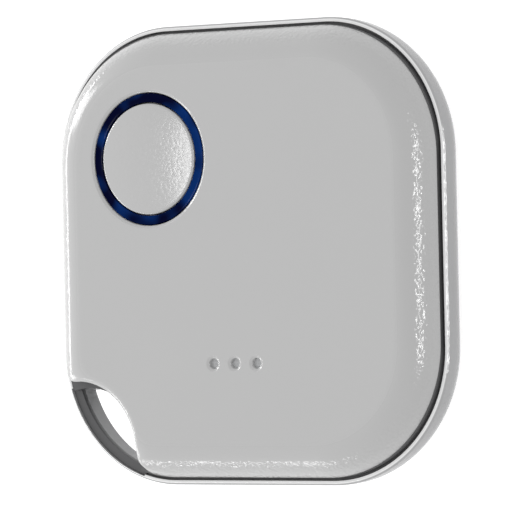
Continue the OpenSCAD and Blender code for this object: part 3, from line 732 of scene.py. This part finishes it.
def make_finishes(paints, key):
    """Makes the finish of every material slot once."""
    shell = {"rough": 0.16, "mottle": 0.008, "detail": 0.0}
    front = {"grain": 0.24 * MM, "depth": 0.042 * MM, "spread": 0.04, **shell}
    rear = {"grain": 0.26 * MM, "depth": 0.016 * MM, "spread": 0.03, **shell}
    # Light grey shell plastic from a spark-eroded mould, with a smooth satin face
    FINISH["front_shell"] = moulded(
        "grained_front_shell", paints.front, **front, zones=[ROLL_GRAIN], satin=FACE_SATIN
    )
    # The same plastic, half polished on the crown of the key
    FINISH["key_shell"] = moulded("half_polished_key", paints.front, **front, zones=[CROWN_GRAIN])
    # The same plastic, painted a little darker as painted shade, with a painted highlight along the rim
    painted_rim_highlight = (linear("#f2f2f2"), *RIM_HIGHLIGHT_HEIGHTS)
    FINISH["rear_shell"] = moulded("grained_rear_shell", paints.rear, **rear, rim=painted_rim_highlight)
    # Dark grey frame plastic, satin
    FINISH["frame_plastic"] = moulded(
        "satin_dark_frame", paints.frame, 0.2 * MM, 0.008 * MM, rough=0.4, mottle=0.04
    )
    # Clear deep blue plastic, polished, with the light that it carries from the lamps under it painted in as
    # lighter blue
    FINISH["blue_lens"] = light_guide(
        "polished_blue_light_guide", paints.ring, paints.ring_painted_light, key.place[0], key.ring_radius
    )
    # Green solder mask over copper runs on glass laminate
    FINISH["board"] = laminate("green_solder_mask", paints.mask)
    # Clear lamp resin over yellow phosphor
    FINISH["clear_resin"] = moulded(
        "phosphor_lamp_resin", linear("#f0d878"), 0.25 * MM, 0.004 * MM, rough=0.15, spread=0.04, mottle=0.1
    )
    # Fine woven stainless wire
    FINISH["wire_mesh"] = woven_wire("woven_stainless_wire", linear("#c2c3c4"))
    for slot, name, code, grain, depth, rough in PLAIN_FINISHES:
        FINISH[slot] = moulded(name, linear(code), grain * MM, depth * MM, rough)
    for slot, name, code, streak, grain, rough in METAL_FINISHES:
        FINISH[slot] = metal(name, linear(code), streak, grain * MM, rough)


# Operators


class BUTTON_OT_stage(Operator):
    """Sets the floor, the light and the camera, and makes the finishes."""

    bl_idname = "button.stage"
    bl_label = "Stage"

    def execute(self, context):
        scene = context.scene
        stage = scene.button_stage
        make_finishes(scene.button_finishes, scene.button_key)
        scene.view_settings.view_transform = "Standard"

        # White seamless floor: matt, and lifted to white for the camera and in reflections
        deselect()
        bpy.ops.mesh.primitive_plane_add(size=stage.floor, location=(0, 0, -FLOOR_GAP))
        floor = context.object
        floor.name = floor.data.name = "studio_floor"
        made, tree, _ = blank("white_seamless_paper")
        ray = node(tree, "ShaderNodeLightPath")
        paper = node(tree, "ShaderNodeBsdfDiffuse", {"Color": linear("#f0f0f0")})
        level = maths(tree, "MULTIPLY_ADD", ray.outputs["Is Camera Ray"], CAMERA_LIFT, FLOOR_LIFT)
        lift = node(tree, "ShaderNodeEmission", {"Strength": level, "Color": linear("#ffffff")})
        both = node(tree, "ShaderNodeAddShader", {0: paper.outputs[0], 1: lift.outputs[0]})
        node(tree, "ShaderNodeOutputMaterial", {"Surface": shown_or_plain(tree, ray, paper, both)})
        floor.data.materials.append(made)

        # Even white room: a plain light on the object, and white for the camera and in reflections
        world = bpy.data.worlds.new("studio_room")
        world.use_nodes = True
        tree = world.node_tree
        tree.nodes.clear()
        ray = node(tree, "ShaderNodeLightPath")
        room, white = (
            node(tree, "ShaderNodeBackground", {"Color": linear("#ffffff"), "Strength": strength})
            for strength in (ROOM_LIGHT, ROOM_SHOWN)
        )
        node(tree, "ShaderNodeOutputWorld", {"Surface": shown_or_plain(tree, ray, room, white)})
        scene.world = world

        # Soft boxes that face the middle of the rear face
        for name, side, turn, reach, width, height, watts in BOXES:
            deselect()
            bpy.ops.object.light_add(type="AREA")
            lamp = context.object
            lamp.name = lamp.data.name = name
            lamp.data.shape = "RECTANGLE"
            lamp.data.size = width
            lamp.data.size_y = height
            lamp.data.energy = watts
            lamp.visible_diffuse = name not in GLINT_BOXES
            side, turn = radians(side), radians(turn)
            out = Vector((sin(side) * cos(turn), sin(side) * sin(turn), cos(side)))
            run = Vector((-sin(turn), cos(turn), 0))
            facing = Matrix((run.cross(out), run, out)).transposed().to_4x4()
            lamp.matrix_world = Matrix.Translation(out * reach) @ facing

        # Camera fitted to the photo
        deselect()
        bpy.ops.object.camera_add()
        camera = context.object
        camera.name = camera.data.name = "camera"
        level = cos(stage.pitch)
        back = Vector((sin(stage.yaw) * level, sin(stage.pitch), cos(stage.yaw) * level))
        right = Vector((cos(stage.yaw), 0, -sin(stage.yaw)))
        up = back.cross(right)
        across = right * cos(stage.roll) + up * sin(stage.roll)
        above = up * cos(stage.roll) - right * sin(stage.roll)
        place = Vector((0, 0, stage.aim)) + back * stage.distance
        camera.matrix_world = Matrix.Translation(place) @ Matrix((across, above, back)).transposed().to_4x4()
        camera.data.lens = stage.lens
        camera.data.shift_x, camera.data.shift_y = PICTURE_SHIFT
        camera.data.clip_start = NEAREST
        scene.camera = camera
        return {"FINISHED"}


class BUTTON_OT_front_cover(Operator):
    """Models the front cover: a ring stack over its roll and hollow, then the key hole and sound holes."""

    bl_idname = "button.front_cover"
    bl_label = "Front cover"

    def execute(self, context):
        case = context.scene.button_case
        key = context.scene.button_key
        edge = case.front_inset
        top = case.thickness
        ceiling = top - FACE_WALL
        tongue = edge + TONGUE_INSET
        hollow = tongue + TONGUE_WALL
        tongue_low = case.seam_height - TONGUE_DROP

        # The hollow from the ceiling down, then round the tongue to the seam
        rings = [case_ring(case, hollow + HOLLOW_STEP, ceiling, hollow, FRONT_TIP)]
        for i in range(EDGE_STEPS + 1):
            turn = pi / 2 * i / EDGE_STEPS
            inset = hollow + HOLLOW_BEND * (1 - sin(turn))
            rings.append(case_ring(case, inset, ceiling - HOLLOW_BEND * (1 - cos(turn)), hollow, FRONT_TIP))
        for inset, height in ((hollow, tongue_low), (tongue, tongue_low), (tongue, case.seam_height)):
            rings.append(case_ring(case, inset, height, inset, FRONT_TIP))

        # The roll is one arc from seam to face, and the notch has an upright wall with a small round edge
        draw_in = edge + case.front_corner - case.corner_radius
        rise = top - case.seam_height
        radius = (case.front_roll**2 + rise**2) / (2 * rise)
        start = asin((radius - rise) / radius)
        for i in range(ROLL_STEPS + 1):
            t = i / ROLL_STEPS
            turn = start + (pi / 2 - start) * t
            inset = edge + case.front_roll - radius * cos(turn)
            if i <= WALL_STEPS:
                notch = edge
                notch_height = case.seam_height + (rise - case.notch_round) * i / WALL_STEPS
            else:
                bend = pi / 2 * (i - WALL_STEPS) / (ROLL_STEPS - WALL_STEPS)
                notch = edge + case.notch_round * (1 - cos(bend))
                notch_height = top - case.notch_round * (1 - sin(bend))
            tip = case.tip_round + (case.tip_top - case.tip_round) * t
            height = top - radius * (1 - sin(turn))
            rings.append(case_ring(case, inset, height, notch, tip, notch_height, draw_in))
        inset = edge + case.front_roll + FLAT_STEP
        notch = edge + case.notch_round + FLAT_STEP
        rings.append(case_ring(case, inset, top, notch, case.tip_top, None, draw_in))
        piece = loft("front_cover_shell", rings)

        # Catches on the tongue and the rib that carries the sounder
        sounder = (0.0, -key.sound_below)
        for x, y in ((1, 0), (0, 1), (-1, 0), (0, -1)):
            middle = Vector((x, y, 0)) * (case.half_width - tongue)
            middle.z = tongue_low + CATCH_MIDDLE
            reach = Vector((CATCH_OUT if x else CATCH_ALONG, CATCH_OUT if y else CATCH_ALONG, CATCH_UP))
            combine(piece, block("catch", middle - reach, middle + reach), "UNION")
        rib = post("sounder_rib", sounder, RIB_RADIUS, ceiling - RIB_DROP, ceiling + BITE)
        combine(rib, post("rib_bore", sounder, RIB_BORE, ceiling - PAST, top))
        combine(piece, rib, "UNION")

        # Mesh pocket from below, then the key hole and the sound holes
        low = ceiling - PAST
        outer = key.sound_pitch * (key.sound_count - 1) / 2
        pocket = Vector((outer + POCKET_MARGIN, POCKET_MARGIN, 0))
        middle = Vector((*sounder, low))
        deep = Vector((0, 0, ceiling - low + key.mesh_pocket))
        combine(piece, block("mesh_pocket", middle - pocket, middle + pocket + deep))
        combine(piece, hole_cutter("key_hole", key.place, key.hole_radius, key.hole_edge, low, top))
        for i in range(key.sound_count):
            centre = (i * key.sound_pitch - outer, -key.sound_below)
            sizes = (key.sound_radius, key.sound_edge, low, top)
            combine(piece, hole_cutter("sound_hole", centre, *sizes, SOUND_LEAN, SOUND_FLAT))
        smooth(piece)
        dress(piece, "front_half", "front_shell", FINISH["front_shell"], "front_cover")
        return {"FINISHED"}


class BUTTON_OT_rear_cover(Operator):
    """Models the rear cover: a ring stack over its roll, rim, seat and tub, then recess and loop hole."""

    bl_idname = "button.rear_cover"
    bl_label = "Rear cover"

    def execute(self, context):
        case = context.scene.button_case
        roll = case.rear_roll

        # The rear roll and the rim outside, then the lip, the seat and the tub inside
        rings = [case_ring(case, roll + FLAT_STEP, 0.0)]
        for i in range(ROLL_STEPS + 1):
            turn = pi / 2 * i / ROLL_STEPS
            rings.append(case_ring(case, roll * (1 - sin(turn)), roll * (1 - cos(turn))))
        for run, drop in reversed(broken_edge(case.rim_edge, RIM_LEAN, RIM_FLAT)):
            rings.append(case_ring(case, case.rim_edge - run, case.rear_height - drop))
        inner = [(case.lip, case.rear_height), (case.lip, case.seat_height), (case.wall, case.seat_height)]
        for i in range(EDGE_STEPS + 1):
            turn = pi / 2 * i / EDGE_STEPS
            inner.append((case.wall + TUB_BEND * (1 - cos(turn)), case.floor + TUB_BEND * (1 - sin(turn))))
        inner.append((case.wall + TUB_BEND + TUB_STEP, case.floor))
        for inset, height in inner:
            rings.append(case_ring(case, inset, height, inset, TUB_TIP))
        piece = loft("rear_cover_shell", rings)

        # Recess for the frame, in the rim and in the loop, then the loop's hole and the room under its bar
        corner = case.half_width - case.corner_radius
        corner_centre = (-corner, -corner)
        notch_centre = (-case.notch_centre, -case.notch_centre)
        bar_inner = case.corner_radius - case.loop_width
        high = 2 * case.thickness
        for lip, reach in ((case.lip, FRAME_REACH), (case.loop_lip, case.front_inset / 2)):
            radius = case.corner_radius - lip
            recess = post("loop_recess", corner_centre, radius, case.seat_height, case.thickness)
            stop = post("recess_stop", notch_centre, case.notch_radius + reach + FIT_GAP, 0.0, high)
            combine(recess, stop, "INTERSECT")
            combine(piece, recess)
        opening = post("loop_hole", notch_centre, case.notch_radius, -PAST, case.thickness)
        combine(opening, post("bar_side", corner_centre, bar_inner, -2 * PAST, high), "INTERSECT")
        combine(piece, opening)
        combine(piece, post("loop_under", notch_centre, case.notch_radius, -PAST, case.loop_low))
        soften(piece, REAR_SOFT)
        smooth(piece)
        dress(piece, "rear_half", "rear_shell", FINISH["rear_shell"], "rear_cover")
        return {"FINISHED"}


class BUTTON_OT_mid_frame(Operator):
    """Softens the edges of the dark frame between the covers."""

    bl_idname = "button.mid_frame"
    bl_label = "Frame"

    def execute(self, context):
        piece = copied("mid_frame", "dark_frame")
        soften(piece, FRAME_SOFT, limit=40)
        smooth(piece)
        dress(piece, "front_half", "frame_plastic", FINISH["frame_plastic"], "mid_frame")
        return {"FINISHED"}


class BUTTON_OT_key(Operator):
    """Models the key's cap and the light ring round it."""

    bl_idname = "button.key"
    bl_label = "Key and light ring"

    def execute(self, context):
        key = context.scene.button_key
        top = key.cap_top
        edge_height = top - key.cap_crown
        flat = key.cap_radius - key.cap_edge

        # The crown is part of a ball, and the flange, the bay and the stem are under it
        crown = (flat**2 + key.cap_crown**2) / (2 * key.cap_crown)
        spots = [flat * (i + 1) / CROWN_STEPS for i in range(CROWN_STEPS)]
        profile = [(spot, top - crown + sqrt(crown**2 - spot**2)) for spot in spots]
        for run, drop in broken_edge(key.cap_edge, HOLE_LEAN, start=asin(flat / crown))[1:]:
            profile.append((flat + run, edge_height - drop))
        flange = key.cap_radius + FLANGE_OUT
        bay = key.cap_radius - CAP_WALL
        bay_top = edge_height - CAP_ROOF
        profile += [(key.cap_radius, FLANGE_TOP), (flange, FLANGE_TOP), (flange, FLANGE_LOW)]
        profile += [(bay, FLANGE_LOW), (bay, bay_top), (STEM_RADIUS, bay_top), (STEM_RADIUS, STEM_LOW)]
        cap = turned("key_cap", key.place, profile, ROUND_STEPS)
        smooth(cap, limit=38)
        dress(cap, "key", "front_shell", FINISH["key_shell"], "button_cap")

        # The key box is flagged off the case, as with a card in a studio
        lit = bpy.data.collections.new("lit_by_key_box")
        lit.objects.link(cap)
        bpy.data.objects["key_box"].light_linking.receiver_collection = lit

        # The ring's top is hollowed between two narrow lips, and its foot spreads under the cover
        width = key.ring_radius - key.ring_bore - 2 * RING_LIP
        curve = ((width / 2) ** 2 + key.ring_dish**2) / (2 * key.ring_dish)
        middle = (key.ring_radius + key.ring_bore) / 2
        lip_low = key.ring_top - RING_LIP
        profile = [(key.ring_bore, FOOT_TOP), (key.ring_bore, lip_low)]
        for i in range(CROWN_STEPS + 1):
            off = width * (i / CROWN_STEPS - 0.5)
            profile.append((middle + off, key.ring_top - key.ring_dish + curve - sqrt(curve**2 - off**2)))
        foot_outer = key.ring_radius + FOOT_OUT
        foot_inner = key.ring_bore + FOOT_IN
        profile += [(key.ring_radius, lip_low), (key.ring_radius, FOOT_TOP), (foot_outer, FOOT_TOP)]
        profile += [(foot_outer, FOOT_LOW), (foot_inner, FOOT_LOW), (foot_inner, FOOT_TOP)]
        ring = turned("light_guide_ring", key.place, profile, ROUND_STEPS, closed=True)
        smooth(ring, limit=40)
        dress(ring, "front_half", "blue_lens", FINISH["blue_lens"], "light_ring")
        return {"FINISHED"}


class BUTTON_OT_inner_finishes(Operator):
    """Gives every CAD piece that still shows the finish of its slot."""

    bl_idname = "button.inner_finishes"
    bl_label = "Inner finishes"

    def execute(self, context):
        for part in frame["record"]["subparts"]:
            solid = frame["nodes"][part["node"]]
            solid.data.materials.clear()
            solid.data.materials.append(FINISH[part["material_slot"]])
        return {"FINISHED"}


class BUTTON_PT_pieces(Panel):
    """Lists the pieces of the button in the sidebar."""

    bl_idname = "BUTTON_PT_pieces"
    bl_label = "Wireless button"
    bl_space_type = "VIEW_3D"
    bl_region_type = "UI"
    bl_category = "Button"

    def draw(self, context):
        for operator in OPERATORS:
            self.layout.operator(operator.bl_idname)


GROUPS = {
    "button_case": CaseSizes,
    "button_key": KeySizes,
    "button_finishes": Finishes,
    "button_stage": StageSizes,
}
OPERATORS = (
    BUTTON_OT_stage,
    BUTTON_OT_front_cover,
    BUTTON_OT_rear_cover,
    BUTTON_OT_mid_frame,
    BUTTON_OT_key,
    BUTTON_OT_inner_finishes,
)
CLASSES = (*GROUPS.values(), *OPERATORS, BUTTON_PT_pieces)


def register():
    """Registers the classes and hangs the property groups on the scene."""
    for each in CLASSES:
        bpy.utils.register_class(each)
    for name, group in GROUPS.items():
        setattr(bpy.types.Scene, name, PointerProperty(type=group))


def unregister():
    """Takes the property groups and the classes away again."""
    for name in GROUPS:
        delattr(bpy.types.Scene, name)
    for each in reversed(CLASSES):
        bpy.utils.unregister_class(each)


def main():
    """Builds every piece in order."""
    register()
    bpy.ops.button.stage()
    bpy.ops.button.front_cover()
    bpy.ops.button.rear_cover()
    bpy.ops.button.mid_frame()
    bpy.ops.button.key()
    bpy.ops.button.inner_finishes()


if __name__ == "__main__":
    main()
